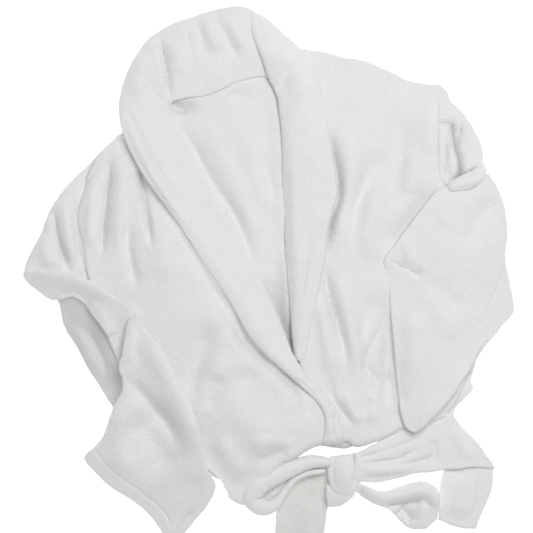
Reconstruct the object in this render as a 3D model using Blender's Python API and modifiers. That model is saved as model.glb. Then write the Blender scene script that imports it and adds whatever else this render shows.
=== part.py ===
"""Bathrobe of thick white plush, laid flat with its skirt folded under at the waist and its belt tied.

The robe lies on its back, +Z is up and +Y runs from the hem fold to the collar. Left and right are
the wearer's, so the wearer's right side is at -X. Lengths are in metres.

The skirt is folded twice below the chest, so the cloth lies in level plies. From the floor up they are
the back skirt's lower half, the two front skirts' lower halves, the pockets, the front skirts' upper
halves, the back skirt's upper half, the belt's band, the back, the left front and the right front.
"""

import math

import bmesh
import bpy
from mathutils import Vector

# The cloth
PLY = 0.0040
CLEARANCE = 0.0007
PITCH = PLY + CLEARANCE
LIFT = 0.0003

# The plies, counted from the floor
BACK_HEM, LEFT_HEM, RIGHT_HEM, POCKETS, RIGHT_SKIRT, LEFT_SKIRT = range(6)
BACK_SKIRT, BAND, BACK, LEFT, RIGHT = range(6, 11)

# The chest's crown: how far the cloth over it rises, and where
CROWN_HEIGHT = 0.004
CROWN_CENTRE = Vector((0.0, 0.06))
CROWN_HALF_SIZE = Vector((0.26, 0.17))

# The height of the collar's middle, clear of the chest's top ply
COLLAR_HEIGHT = 0.060

# The folds
WAIST_FOLD_Y = -0.202
WAIST_FOLD_SLOPE = 0.22
FOLD_STEPS = 6
SKIRT_FOLD_Y = 0.115
SKIRT_BOTTOM_Y = -0.170

# The pockets
POCKET_TOP_Y = 0.070
POCKET_DEPTH = 0.180
POCKET_PLY = 0.0028

# The belt
BELT_PLY = 0.0070
BAND_PLY = 0.0022
STRAP_PLY = 0.0012
STRAP_WIDTH = 0.012
STRAP_LENGTH = 0.080

# Joint axes, all upright
RIGHT_ELBOW = Vector((-0.296, 0.020, 0.0))
LEFT_ELBOW = Vector((0.284, 0.142, 0.0))
TAIL_TURN = Vector((0.084, -0.262, 0.0))

PLUSH_WHITE = (0.80, 0.81, 0.82)


def clear_scene():
    for obj in list(bpy.data.objects):
        bpy.data.objects.remove(obj, do_unlink=True)


def collection(name):
    group = bpy.data.collections.new(name)
    bpy.context.scene.collection.children.link(group)
    return group


def plush(name, tint=1.0, roughness=0.95):
    """A plain white cloth finish, a little lighter or darker than the robe by its tint."""
    material = bpy.data.materials.new(name)
    material.use_nodes = True
    shader = material.node_tree.nodes["Principled BSDF"]
    shader.inputs["Base Color"].default_value = (*(tint * value for value in PLUSH_WHITE), 1.0)
    shader.inputs["Roughness"].default_value = roughness
    shader.inputs["Metallic"].default_value = 0.0
    return material


def level(ply):
    """The height of a ply's middle."""
    return ply * PITCH + PLY / 2


def crown(x, y):
    """How far the cloth of the chest rises at a place: a smooth hill with a level foot."""
    across = max(0.0, 1 - ((x - CROWN_CENTRE.x) / CROWN_HALF_SIZE.x) ** 2)
    along = max(0.0, 1 - ((y - CROWN_CENTRE.y) / CROWN_HALF_SIZE.y) ** 2)
    return CROWN_HEIGHT * (across * along) ** 2


def spline_point(points, t):
    """The point at t, from 0 to 1, on a smooth curve through the points."""
    place = t * (len(points) - 1)
    i = min(int(place), len(points) - 2)
    f = place - i
    a, b = points[i], points[i + 1]
    before = points[i - 1] if i else 2 * a - b
    after = points[i + 2] if i + 2 < len(points) else 2 * b - a
    pull_in, pull_out = (b - before) / 2, (after - a) / 2
    bend = 3 * (b - a) - 2 * pull_in - pull_out
    twist = 2 * (a - b) + pull_in + pull_out
    return a + f * (pull_in + f * (bend + f * twist))


def row(*points, z=0.0):
    """One line across a cloth, from two or more places (x, y) or (x, y, z)."""
    return [Vector((*point, z)) if len(point) == 2 else Vector(point) for point in points]


def loft(rows, across, along):
    """A grid of places through the rows, across columns wide and along rows long."""
    lines = [[spline_point(points, u / across) for points in rows] for u in range(across + 1)]
    return [[spline_point(line, v / along) for line in lines] for v in range(along + 1)]


def waist_row(left, right):
    """The waist fold from one x to another: a straight line, higher at the wearer's left."""
    return row(*((x, WAIST_FOLD_Y + WAIST_FOLD_SLOPE * x) for x in (left, right)))


def cloth(name, grid, thickness, group, finish, origin=(0, 0, 0), rounded=0):
    """A cloth of even thickness whose middle runs through the grid of places."""
    along, across = len(grid) - 1, len(grid[0]) - 1
    shape = bmesh.new()
    bmesh.ops.create_grid(shape, x_segments=across, y_segments=along, size=0.5)
    origin = Vector(origin)
    for vertex in shape.verts:
        u = round((vertex.co.x + 0.5) * across)
        v = round((0.5 - vertex.co.y) * along)
        vertex.co = grid[v][u] - origin
    mesh = bpy.data.meshes.new(name)
    shape.to_mesh(mesh)
    shape.free()
    obj = bpy.data.objects.new(name, mesh)
    obj.location = origin
    group.objects.link(obj)
    mesh.materials.append(finish)
    solidify = obj.modifiers.new("Thickness", "SOLIDIFY")
    solidify.thickness = thickness
    solidify.offset = 0.0
    if rounded:
        soften = obj.modifiers.new("Softness", "SUBSURF")
        soften.levels = rounded
        soften.render_levels = rounded
    return obj


def fold(line, upper, lower, outward):
    """Rows that carry a row from one ply round a half turn to another, bulging to -Y or +Y."""
    radius = abs(level(upper) - level(lower)) / 2
    middle = (level(upper) + level(lower)) / 2
    turn_down = 1 if upper > lower else -1
    rows = []
    for step in range(FOLD_STEPS + 1):
        angle = math.pi * step / FOLD_STEPS
        shift = Vector((0, outward * radius * math.sin(angle), 0))
        height = middle + turn_down * radius * math.cos(angle)
        rows.append([Vector((p.x, p.y, height)) + shift for p in line])
    return rows


def body_panel(name, chest, waist, skirt, plies, group, finish):
    """A panel from the shoulder over the chest, round the waist fold, up and down again as the skirt."""
    chest_ply, skirt_ply, hem_ply = plies
    across, chest_steps, skirt_steps = 10, 10, 4
    skirt_left, skirt_right = skirt
    upper_grid = loft([*chest, waist_row(*waist)], across, chest_steps)
    for line in upper_grid:
        for point in line:
            point.z = level(chest_ply) + crown(point.x, point.y)
    turned = fold(upper_grid[-1], chest_ply, skirt_ply, -1)
    far_line = []
    for u in range(across + 1):
        x = skirt_left + (skirt_right - skirt_left) * u / across
        far_line.append(Vector((x, SKIRT_FOLD_Y, level(skirt_ply))))
    rising = loft([turned[-1], far_line], across, skirt_steps)
    turned_back = fold(far_line, skirt_ply, hem_ply, 1)
    last_line = [Vector((p.x, SKIRT_BOTTOM_Y, level(hem_ply))) for p in far_line]
    falling = loft([turned_back[-1], last_line], across, skirt_steps)
    grid = [*upper_grid, *turned[1:], *rising[1:], *turned_back[1:], *falling[1:]]
    return cloth(name, grid, PLY, group, finish)


def make_body(group, finish):
    """The back and the two fronts, each one cloth from the shoulder to the hem."""
    body_panel(
        "back_panel",
        [row((-0.196, 0.238), (-0.060, 0.292), (0.080, 0.300), (0.216, 0.270)),
         row((-0.232, 0.140), (-0.075, 0.160), (0.075, 0.160), (0.224, 0.160)),
         row((-0.222, 0.000), (-0.075, 0.000), (0.075, 0.000), (0.244, 0.010)),
         row((-0.172, -0.120), (-0.050, -0.120), (0.090, -0.100), (0.250, -0.090))],
        (-0.100, 0.230), (-0.150, 0.205), (BACK, BACK_SKIRT, BACK_HEM), group, finish)
    body_panel(
        "right_front_panel",
        [row((-0.204, 0.214), (-0.200, 0.215), (-0.194, 0.214)),
         row((-0.234, 0.140), (-0.195, 0.150), (-0.150, 0.160)),
         row((-0.228, 0.030), (-0.145, 0.045), (-0.064, 0.050)),
         row((-0.190, -0.100), (-0.085, -0.075), (0.018, -0.055))],
        (-0.104, 0.096), (-0.146, 0.080), (RIGHT, RIGHT_SKIRT, RIGHT_HEM), group, finish)
    body_panel(
        "left_front_panel",
        [row((0.078, 0.302), (0.150, 0.306), (0.214, 0.274)),
         row((0.094, 0.160), (0.160, 0.160), (0.226, 0.158)),
         row((0.070, 0.020), (0.160, 0.020), (0.246, 0.010)),
         row((0.046, -0.090), (0.140, -0.090), (0.252, -0.092))],
        (0.020, 0.232), (0.020, 0.202), (LEFT, LEFT_SKIRT, LEFT_HEM), group, finish)


def make_pockets(group, finish):
    """Two square patch pockets on the front skirts' outsides, which the folds hide."""
    for name, ply, left, right in (
        ("right_pocket", POCKETS, -0.135, 0.035),
        ("left_pocket", RIGHT_SKIRT, 0.102, 0.196),
    ):
        ends = (POCKET_TOP_Y, POCKET_TOP_Y - POCKET_DEPTH)
        rows = [row((left, y), (right, y), z=level(ply)) for y in ends]
        cloth(name, loft(rows, 3, 3), POCKET_PLY, group, finish)


def make_collar(group, finish):
    """The shawl collar: its part behind the neck and a lapel down each front."""
    z = COLLAR_HEIGHT
    cloth("back_collar", loft([
        row((-0.210, 0.240, z - 0.008), (-0.162, 0.254, z - 0.004), (-0.120, 0.258, z - 0.008)),
        row((-0.200, 0.306, z), (-0.152, 0.296, z + 0.006), (-0.116, 0.276, z - 0.004)),
        row((-0.152, 0.370, z), (-0.110, 0.328, z + 0.008), (-0.084, 0.280, z - 0.004)),
        row((-0.062, 0.392, z), (-0.052, 0.342, z + 0.008), (-0.042, 0.294, z - 0.004)),
        row((-0.004, 0.384, z), (-0.008, 0.342, z + 0.006), (-0.006, 0.310, z - 0.004)),
        row((0.054, 0.332, z), (0.036, 0.318, z), (0.018, 0.304, z)),
    ], 6, 12), 0.016, group, finish, rounded=1)
    cloth("right_lapel", loft([
        row((-0.204, 0.230), (-0.160, 0.242), (-0.122, 0.248), z=z + 0.004),
        row((-0.180, 0.166), (-0.136, 0.186), (-0.100, 0.200), z=z + 0.006),
        row((-0.112, 0.074), (-0.072, 0.098), (-0.040, 0.114), z=z + 0.006),
        row((-0.048, -0.026), (-0.014, 0.000), (0.014, 0.014), z=z + 0.004),
        row((0.012, -0.094), (0.040, -0.078), (0.062, -0.062), z=z),
        row((0.066, -0.174), (0.084, -0.168), (0.102, -0.162), z=z - 0.002),
    ], 5, 14), 0.010, group, finish, rounded=1)
    cloth("left_lapel", loft([
        row((0.016, 0.296), (0.038, 0.302), (0.060, 0.316), z=z + 0.002),
        row((0.014, 0.230), (0.050, 0.230), (0.084, 0.228), z=z + 0.004),
        row((0.020, 0.120), (0.056, 0.120), (0.092, 0.120), z=z + 0.004),
        row((0.026, 0.020), (0.052, 0.020), (0.078, 0.020), z=z + 0.002),
        row((0.044, -0.004), (0.056, -0.016), (0.070, -0.030), z=z - 0.004),
    ], 5, 12), 0.008, group, finish, rounded=1)


def make_right_sleeve(group, finish):
    """The wearer's right sleeve: down to the elbow, then the lower half turned back over the front."""
    cloth("right_upper_sleeve", loft([
        row((-0.224, 0.214, 0.030), (-0.214, 0.216, 0.034), (-0.206, 0.222, 0.036)),
        row((-0.302, 0.114, 0.018), (-0.272, 0.130, 0.026), (-0.238, 0.146, 0.030)),
        row((-0.346, 0.042, 0.014), (-0.284, 0.052, 0.022), (-0.236, 0.062, 0.026)),
        row((-0.306, -0.006, 0.012), (-0.268, -0.006, 0.018), (-0.230, -0.006, 0.022)),
    ], 5, 8), 0.018, group, finish, rounded=1)
    cloth("right_lower_sleeve", loft([
        row((-0.334, 0.032, 0.046), (-0.260, 0.034, 0.068), (-0.196, 0.000, 0.076)),
        row((-0.298, -0.014, 0.034), (-0.226, -0.036, 0.070), (-0.148, -0.056, 0.078)),
        row((-0.248, -0.116, 0.026), (-0.180, -0.124, 0.066), (-0.108, -0.134, 0.078)),
        row((-0.226, -0.178, 0.022), (-0.154, -0.202, 0.060), (-0.084, -0.212, 0.074)),
        row((-0.242, -0.214, 0.018), (-0.160, -0.252, 0.040), (-0.080, -0.268, 0.060)),
    ], 6, 10), 0.016, group, finish, origin=RIGHT_ELBOW, rounded=1)
    cloth("right_cuff_hem", loft([
        row((-0.246, -0.219, 0.016), (-0.163, -0.258, 0.036), (-0.082, -0.276, 0.056)),
        row((-0.230, -0.244, 0.014), (-0.160, -0.296, 0.026), (-0.106, -0.312, 0.040)),
    ], 6, 2), 0.016, group, finish, origin=RIGHT_ELBOW)


def make_left_sleeve(group, finish):
    """The wearer's left sleeve: its top at the armhole, and the lower half folded down over the front."""
    cloth("left_upper_sleeve", loft([
        row((0.231, 0.276, 0.030), (0.246, 0.266, 0.030), (0.260, 0.246, 0.026)),
        row((0.233, 0.190, 0.024), (0.260, 0.190, 0.024), (0.288, 0.186, 0.018)),
        row((0.256, 0.040, 0.020), (0.286, 0.040, 0.020), (0.316, 0.040, 0.014)),
        row((0.262, -0.090, 0.018), (0.278, -0.086, 0.018), (0.294, -0.078, 0.014)),
    ], 4, 10), 0.018, group, finish, rounded=1)
    cloth("left_lower_sleeve", loft([
        row((0.238, 0.152, 0.068), (0.266, 0.164, 0.068), (0.292, 0.174, 0.064)),
        row((0.190, 0.094, 0.072), (0.256, 0.100, 0.072), (0.322, 0.106, 0.064)),
        row((0.154, 0.048, 0.070), (0.240, 0.050, 0.072), (0.321, 0.052, 0.062)),
        row((0.162, -0.050, 0.068), (0.234, -0.040, 0.070), (0.312, -0.026, 0.062)),
        row((0.172, -0.140, 0.066), (0.216, -0.124, 0.068), (0.266, -0.098, 0.064)),
        row((0.188, -0.192, 0.064), (0.202, -0.184, 0.064), (0.214, -0.172, 0.064)),
    ], 6, 12), 0.016, group, finish, origin=LEFT_ELBOW, rounded=1)
    cloth("left_cuff_hem", loft([
        row((0.325, 0.046, 0.060), (0.331, 0.010, 0.060), (0.333, -0.020, 0.060)),
        row((0.319, 0.034, 0.060), (0.318, -0.026, 0.060), (0.302, -0.056, 0.060)),
    ], 5, 1), 0.012, group, finish, origin=LEFT_ELBOW)


def make_belt_loops(group, finish):
    """The short straps at the side seams, lying over the belt's band, which passes through them."""
    z = BAND * PITCH + BAND_PLY + LIFT + STRAP_PLY / 2
    for name, x, y in (("right_belt_loop", -0.104, -0.148), ("left_belt_loop", 0.208, -0.102)):
        half_width, half_length = STRAP_WIDTH / 2, STRAP_LENGTH / 2
        ends = (y + half_length, y - half_length)
        rows = [row((x - half_width, end, z), (x + half_width, end, z)) for end in ends]
        cloth(name, loft(rows, 2, 4), STRAP_PLY, group, finish)


def make_belt(group, finish):
    """The belt: its band round the back of the waist, its knot, its bow and its two ends."""
    z = BAND * PITCH + BAND_PLY / 2
    cloth("belt_waist_band", loft([
        row((-0.116, -0.118, z), (-0.116, -0.176, z)),
        row((0.050, -0.094, z), (0.050, -0.154, z)),
        row((0.222, -0.070, z), (0.222, -0.126, z)),
    ], 3, 8), BAND_PLY, group, finish)
    cloth("belt_knot", loft([
        row((0.080, -0.220, 0.026), (0.082, -0.242, 0.030), (0.082, -0.264, 0.026)),
        row((0.101, -0.212, 0.030), (0.102, -0.242, 0.036), (0.103, -0.270, 0.030)),
        row((0.122, -0.216, 0.026), (0.124, -0.242, 0.030), (0.124, -0.266, 0.026)),
    ], 4, 6), 0.030, group, finish, rounded=1)
    cloth("belt_left_loop", loft([
        row((0.079, -0.222, 0.032), (0.079, -0.252, 0.032)),
        row((0.044, -0.226, 0.032), (0.046, -0.266, 0.030)),
        row((0.014, -0.252, 0.030), (0.020, -0.288, 0.028)),
        row((-0.010, -0.272, 0.028), (-0.004, -0.300, 0.026)),
    ], 3, 8), 0.014, group, finish, rounded=1)
    cloth("belt_right_loop_upper", loft([
        row((0.124, -0.216, 0.026), (0.124, -0.252, 0.026)),
        row((0.182, -0.192, 0.026), (0.186, -0.246, 0.026)),
        row((0.246, -0.174, 0.020), (0.240, -0.237, 0.022)),
        row((0.304, -0.222, 0.014), (0.306, -0.237, 0.014)),
    ], 3, 10), BELT_PLY, group, finish)
    cloth("belt_right_loop_turn", loft([
        row((0.236, -0.240, 0.010), (0.306, -0.240, 0.010)),
        row((0.236, -0.272, 0.007), (0.300, -0.272, 0.006)),
        row((0.234, -0.304, 0.005), (0.286, -0.318, 0.005)),
    ], 3, 6), BELT_PLY, group, finish)
    cloth("belt_right_loop_lower", loft([
        row((0.126, -0.256, 0.016), (0.124, -0.276, 0.016)),
        row((0.176, -0.260, 0.014), (0.170, -0.298, 0.012)),
        row((0.206, -0.250, 0.010), (0.202, -0.318, 0.008)),
        row((0.232, -0.258, 0.007), (0.231, -0.306, 0.006)),
    ], 3, 10), BELT_PLY, group, finish)
    cloth("belt_short_tail", loft([
        row((0.078, -0.268, 0.022), (0.120, -0.268, 0.022)),
        row((0.078, -0.292, 0.018), (0.114, -0.284, 0.018)),
    ], 3, 3), BELT_PLY, group, finish)
    cloth("belt_long_tail", loft([
        row((0.060, -0.244, 0.010), (0.090, -0.262, 0.010)),
        row((0.030, -0.276, 0.006), (0.084, -0.296, 0.006)),
        row((0.012, -0.322, 0.004), (0.076, -0.326, 0.004)),
        row((0.000, -0.388, 0.004), (0.066, -0.390, 0.004)),
    ], 4, 10), BELT_PLY, group, finish, origin=TAIL_TURN)


def main():
    clear_scene()
    group = collection("bathrobe")
    make_body(group, plush("plush_body"))
    make_pockets(group, plush("plush_pocket", tint=0.98))
    make_collar(group, plush("plush_collar", tint=1.02))
    make_right_sleeve(group, plush("plush_right_sleeve"))
    make_left_sleeve(group, plush("plush_left_sleeve"))
    make_belt_loops(group, plush("loop_strap", tint=0.96, roughness=0.9))
    make_belt(group, plush("plush_belt", tint=0.99))


main()
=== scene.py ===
"""The looks of a white plush bathrobe, laid flat with its skirt folded under and its belt tied in a bow."""

import math

import bpy
import numpy as np
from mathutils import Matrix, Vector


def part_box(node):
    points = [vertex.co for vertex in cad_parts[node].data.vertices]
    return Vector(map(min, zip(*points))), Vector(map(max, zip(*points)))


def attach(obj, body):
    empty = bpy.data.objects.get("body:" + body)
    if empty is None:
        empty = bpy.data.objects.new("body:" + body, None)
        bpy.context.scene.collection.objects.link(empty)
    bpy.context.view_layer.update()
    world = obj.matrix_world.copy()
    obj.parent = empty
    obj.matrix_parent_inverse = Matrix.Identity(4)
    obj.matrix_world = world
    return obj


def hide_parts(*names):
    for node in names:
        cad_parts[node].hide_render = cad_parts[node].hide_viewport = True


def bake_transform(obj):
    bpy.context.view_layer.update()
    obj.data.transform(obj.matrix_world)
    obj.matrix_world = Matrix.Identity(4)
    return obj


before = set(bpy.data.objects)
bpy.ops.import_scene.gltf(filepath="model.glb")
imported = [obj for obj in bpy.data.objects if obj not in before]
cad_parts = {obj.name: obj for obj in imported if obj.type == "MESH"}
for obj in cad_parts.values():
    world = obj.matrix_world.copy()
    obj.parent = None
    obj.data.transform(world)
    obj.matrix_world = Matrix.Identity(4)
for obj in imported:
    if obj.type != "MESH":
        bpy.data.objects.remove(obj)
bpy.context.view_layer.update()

MM = 0.001

# ---------------------------------------------------------------- the camera, the light and the floor

VIEW_CENTRE = (-0.0034, 0.0392)
VIEW_WIDTH = 0.7196
VIEW_PLANE = 0.045
LENS, SENSOR = 200.0, 36.0
WORLD_STRENGTH = 0.405
KEY_PLACE, KEY_SIZE, KEY_POWER = (0.45, 0.60, 2.5), 1.0, 34.0
FLOOR_SIZE = 12


def make_camera():
    """A long lens straight above the robe, far enough off to frame VIEW_WIDTH at VIEW_PLANE."""
    data = bpy.data.cameras.new("camera")
    data.lens = LENS
    data.sensor_width = SENSOR
    data.clip_end = 50
    camera = bpy.data.objects.new("camera", data)
    camera.location = (*VIEW_CENTRE, VIEW_PLANE + VIEW_WIDTH * LENS / SENSOR)
    bpy.context.scene.collection.objects.link(camera)
    bpy.context.scene.camera = camera


def make_light(name, place, size, power):
    """A square soft box at a place, turned to face the middle of the robe."""
    data = bpy.data.lights.new(name, "AREA")
    data.size = size
    data.energy = power
    light = bpy.data.objects.new(name, data)
    light.location = place
    light.visible_camera = False
    back = -light.location.normalized()
    light.rotation_mode = "QUATERNION"
    light.rotation_quaternion = back.to_track_quat("-Z", "Y")
    bpy.context.scene.collection.objects.link(light)


def make_studio():
    """White walls all round, one large soft box high at the upper right and a plain white floor."""
    scene = bpy.context.scene
    scene.view_settings.view_transform = "Standard"
    world = bpy.data.worlds.new("studio")
    world.use_nodes = True
    world.node_tree.nodes["Background"].inputs["Color"].default_value = (1.0, 1.0, 1.0, 1)
    world.node_tree.nodes["Background"].inputs["Strength"].default_value = WORLD_STRENGTH
    scene.world = world
    make_light("key", KEY_PLACE, KEY_SIZE, KEY_POWER)
    bpy.ops.mesh.primitive_plane_add(size=FLOOR_SIZE)
    floor = bpy.context.object
    floor.name = "floor"
    return floor


# ---------------------------------------------------------------- shader maths


class Socket:
    """A socket that takes part in sums: each sum adds its Math node."""

    def __init__(self, finish, socket):
        self.finish = finish
        self.socket = socket

    def sum(self, operation, first, second):
        settings = {"operation": operation}
        return self.finish.node("ShaderNodeMath", settings, {0: first, 1: second})

    def __add__(self, other):
        return self.sum("ADD", self, other)

    __radd__ = __add__

    def __mul__(self, other):
        return self.sum("MULTIPLY", self, other)

    __rmul__ = __mul__

    def __sub__(self, other):
        return self.sum("SUBTRACT", self, other)

    def __rsub__(self, other):
        return self.sum("SUBTRACT", other, self)


class Finish:
    """A material's nodes, each made by one call."""

    def __init__(self, name):
        self.material = bpy.data.materials.new(name)
        self.material.use_nodes = True
        self.nodes = self.material.node_tree.nodes
        self.links = self.material.node_tree.links
        self.shader = self.nodes["Principled BSDF"]

    def feed(self, entry, value):
        """Link a socket to an entry, or set the entry to a plain value."""
        if isinstance(value, Socket):
            self.links.new(value.socket, entry)
        else:
            entry.default_value = value

    def node(self, kind, settings, values, output=0):
        """A node of a kind, with its settings and its sockets' values or links."""
        made = self.nodes.new(kind)
        for key, value in settings.items():
            setattr(made, key, value)
        for key, value in values.items():
            self.feed(made.inputs[key], value)
        return Socket(self, made.outputs[output])

    def surface(self, **values):
        """The surface's own settings, by their names with underscores for spaces."""
        for key, value in values.items():
            self.feed(self.shader.inputs[key.replace("_", " ")], value)


# How many lumps of each pattern of the pile go into a metre, and how far its bump reaches in metres.
BROAD_SCALE, CLUMP_SCALE, LOOP_SCALE = 34.0, 330.0, 420.0
BUMP_REACH = 0.0012


def plush(name, light, shade, pile=1.0):
    """Plush: a near-white pile with a rough bump, darker down between its clumps and loops in painted
    shade.
    """
    finish = Finish(name)
    place = finish.node("ShaderNodeTexCoord", {}, {}, "Object")
    wide = {"Vector": place, "Scale": BROAD_SCALE, "Detail": 2.0}
    broad = finish.node("ShaderNodeTexNoise", {}, wide, "Fac")
    fine = {"Vector": place, "Scale": CLUMP_SCALE, "Detail": 3.0, "Roughness": 0.6}
    clumps = finish.node("ShaderNodeTexNoise", {}, fine, "Fac")
    cells = {"Vector": place, "Scale": LOOP_SCALE, "Randomness": 1.0}
    loops = finish.node("ShaderNodeTexVoronoi", {}, cells, "Distance")
    # Painted shade: the colour is darkest where the bump is lowest, down between clumps and loops; the
    # broad noise adds a random change of tone.
    depth = (clumps - 0.5) * 1.1 + (0.45 - loops) * 0.6 + (broad - 0.5) * 0.5 + 0.55
    held = finish.node("ShaderNodeClamp", {}, {0: depth})
    colours = {0: held, 6: (*shade, 1), 7: (*light, 1)}
    colour = finish.node("ShaderNodeMix", {"data_type": "RGBA"}, colours, 2)
    height = clumps * 0.6 + (1 - loops) * 0.4
    relief = {"Strength": 0.45, "Distance": BUMP_REACH * pile, "Height": height}
    bump = finish.node("ShaderNodeBump", {}, relief, "Normal")
    finish.surface(Base_Color=colour, Roughness=0.95, Normal=bump, Sheen_Weight=0.2, Sheen_Roughness=0.6)
    finish.surface(Specular_IOR_Level=0.12)
    return finish.material


def floor_paint():
    """A plain matt white that glows a little, so that the floor is whiter than the robe."""
    finish = Finish("floor_white")
    finish.surface(Base_Color=(0.9, 0.9, 0.9, 1), Roughness=1.0)
    finish.surface(Emission_Color=(1, 1, 1, 1), Emission_Strength=0.62)
    return finish.material


# ---------------------------------------------------------------- curves and sheets as arrays


def smooth_knots(points, steps=24):
    """Places along the Hermite cubic through the points, each slope half the chord of its neighbours."""
    points = np.array(points, float) * MM
    ends = np.vstack([2 * points[0] - points[1], points, 2 * points[-1] - points[-2]])
    place = np.linspace(0, len(points) - 1, steps * (len(points) - 1) + 1)
    i = np.minimum(place.astype(int), len(points) - 2)
    f = (place - i)[:, None]
    a, b = points[i], points[i + 1]
    slope_a, slope_b = (b - ends[i]) / 2, (ends[i + 3] - a) / 2
    return ((2 * f**3 - 3 * f**2 + 1) * a + (f**3 - 2 * f**2 + f) * slope_a
            + (3 * f**2 - 2 * f**3) * b + (f**3 - f**2) * slope_b)


def smooth_curve(points, count):
    """count places evenly spread along the smooth curve through the points."""
    dense = smooth_knots(points)
    run = np.concatenate([[0], np.cumsum(np.linalg.norm(np.diff(dense, axis=0), axis=1))])
    even = np.linspace(0, run[-1], count)
    return np.stack([np.interp(even, run, dense[:, k]) for k in range(dense.shape[1])], axis=1)


def four_sided(left, right, top, bottom, across, along):
    """The sheet inside four edge curves: the mean of the two ruled sheets less their shared corners.

    left and right run from the top to the bottom, top and bottom from left to right."""
    left, right = smooth_curve(left, along), smooth_curve(right, along)
    top, bottom = smooth_curve(top, across), smooth_curve(bottom, across)
    u = np.linspace(0, 1, across)[None, :, None]
    v = np.linspace(0, 1, along)[:, None, None]
    ruled = (1 - u) * left[:, None] + u * right[:, None] + (1 - v) * top[None] + v * bottom[None]
    corners = ((1 - u) * (1 - v) * top[0] + u * (1 - v) * top[-1]
               + (1 - u) * v * bottom[0] + u * v * bottom[-1])
    return ruled - corners


def two_sided(left, right, across, along):
    """The ruled sheet between two edge curves."""
    left, right = smooth_curve(left, along), smooth_curve(right, along)
    u = np.linspace(0, 1, across)[None, :, None]
    return (1 - u) * left[:, None] + u * right[:, None]


def paired(rows, across, along):
    """The sheet whose rows join pairs of places on its two edges, spread evenly along its middle.

    Each edge is the Hermite cubic through its own places, cut at the same row."""
    rows = np.array(rows, float)
    left, right = smooth_knots(rows[:, 0]), smooth_knots(rows[:, 1])
    run = np.linalg.norm(np.diff((left + right) / 2, axis=0), axis=1)
    run = np.concatenate([[0], np.cumsum(run)])
    at = np.interp(np.linspace(0, run[-1], along), run, np.arange(len(run)))
    edges = [np.stack([np.interp(at, np.arange(len(run)), edge[:, k]) for k in range(3)], axis=1)
             for edge in (left, right)]
    u = np.linspace(0, 1, across)[None, :, None]
    return (1 - u) * edges[0][:, None] + u * edges[1][:, None]


def ease(t):
    """0 below 0, 1 above 1, and 3t^2 - 2t^3 between."""
    t = np.clip(t, 0, 1)
    return t * t * (3 - 2 * t)


def nearest(sheet, path):
    """Seen from above, each place's distance to a path, above 0 on its left, and how far along it lies.

    The distance is to the nearest of the straight runs that the path is cut into."""
    line = smooth_curve(path, 32)[:, :2]
    run = np.diff(line, axis=0)
    offset = sheet[..., None, :2] - line[:-1]
    part = np.clip((offset * run).sum(axis=-1) / (run**2).sum(axis=-1), 0, 1)
    away = offset - part[..., None] * run
    i = np.argmin((away**2).sum(axis=-1), axis=-1)
    away = np.take_along_axis(away, i[..., None, None], axis=-2)[..., 0, :]
    part = np.take_along_axis(part, i[..., None], axis=-1)[..., 0]
    side = np.where(run[i][..., 0] * away[..., 1] > run[i][..., 1] * away[..., 0], 1, -1)
    return np.linalg.norm(away, axis=-1) * side, (i + part) / len(run)


# How much higher than its given height each fold stands.
RELIEF = 1.45


def fading(t, fade):
    """1 in the middle of a path, where t is 0 to 1, eased to 0 over a share of it at each end."""
    return ease(t / fade[0]) * ease((1 - t) / fade[1])


def fold(sheet, path, width, height, fade=(0.3, 0.3)):
    """A rounded ridge, or a valley below 0: RELIEF height exp(-(d / width)^2), fading to its two ends."""
    away, t = nearest(sheet, path)
    return RELIEF * height * MM * np.exp(-(away / (width * MM)) ** 2) * fading(t, fade)


def add_folds(raise_by, sheet, rows, fade=(0.3, 0.3)):
    """Add to a sheet's rises one fold for each row of a path, a width and a height."""
    for path, width, height in rows:
        raise_by += fold(sheet, path, width, height, fade)


def crease(sheet, path, width, height, fade):
    """A sharp crease: height exp(-|d| / width), fading to its two ends."""
    away, t = nearest(sheet, path)
    return height * MM * np.exp(-np.abs(away) / (width * MM)) * fading(t, fade)


def dome(sheet, centre, radii, height):
    """A round hill or hollow: height exp(-r^2), r counted in radii."""
    x = (sheet[..., 0] / MM - centre[0]) / radii[0]
    y = (sheet[..., 1] / MM - centre[1]) / radii[1]
    return height * MM * np.exp(-(x * x + y * y))


LATTICE = 64


def mottle(a, b, size, seed):
    """Smooth noise from -1 to 1 in lumps of a size: random heights on a square lattice, eased between."""
    lattice = np.random.RandomState(seed).uniform(-1, 1, (LATTICE, LATTICE))
    turn = 0.6 + seed
    x = (a * math.cos(turn) - b * math.sin(turn)) / size
    y = (a * math.sin(turn) + b * math.cos(turn)) / size
    i, j = np.floor(x).astype(int), np.floor(y).astype(int)
    f, g = ease(x - i), ease(y - j)
    i, next_i, j, next_j = i % LATTICE, (i + 1) % LATTICE, j % LATTICE, (j + 1) % LATTICE
    near = lattice[i, j] * (1 - f) + lattice[next_i, j] * f
    far = lattice[i, next_j] * (1 - f) + lattice[next_i, next_j] * f
    return near * (1 - g) + far * g


def lift(sheet, height):
    """The sheet with each place raised by a height."""
    raised = sheet.copy()
    raised[..., 2] += height
    return raised


# How much stronger than its given amount each crumple is.
CRUMPLE = 1.3


def crumple(sheet, amount, size, seed):
    """Slow uneven rises of the cloth in lumps of a size and half of it, CRUMPLE times an amount in mm."""
    x, y = sheet[..., 0], sheet[..., 1]
    return CRUMPLE * amount * MM * (mottle(x, y, size, seed) + 0.5 * mottle(x, y, size / 2, seed + 1))


# ---------------------------------------------------------------- from a sheet to a piece

# The height of the pile's clumps and the floor's gap in mm, and how far the rim frays in pile heights.
PILE = 0.38
FLOOR_GAP = 0.3
FRAY = 1.1
# The sizes of the clumps and of the rim's tufts, in metres.
LARGE_CLUMP, SMALL_CLUMP = 0.0058, 0.0031
FINE_TUFT, BROAD_TUFT = 0.0030, 0.0075
# The number of places along a rolled band and round it.
BAND_STEPS, BAND_SIDES = 90, 28
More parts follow.
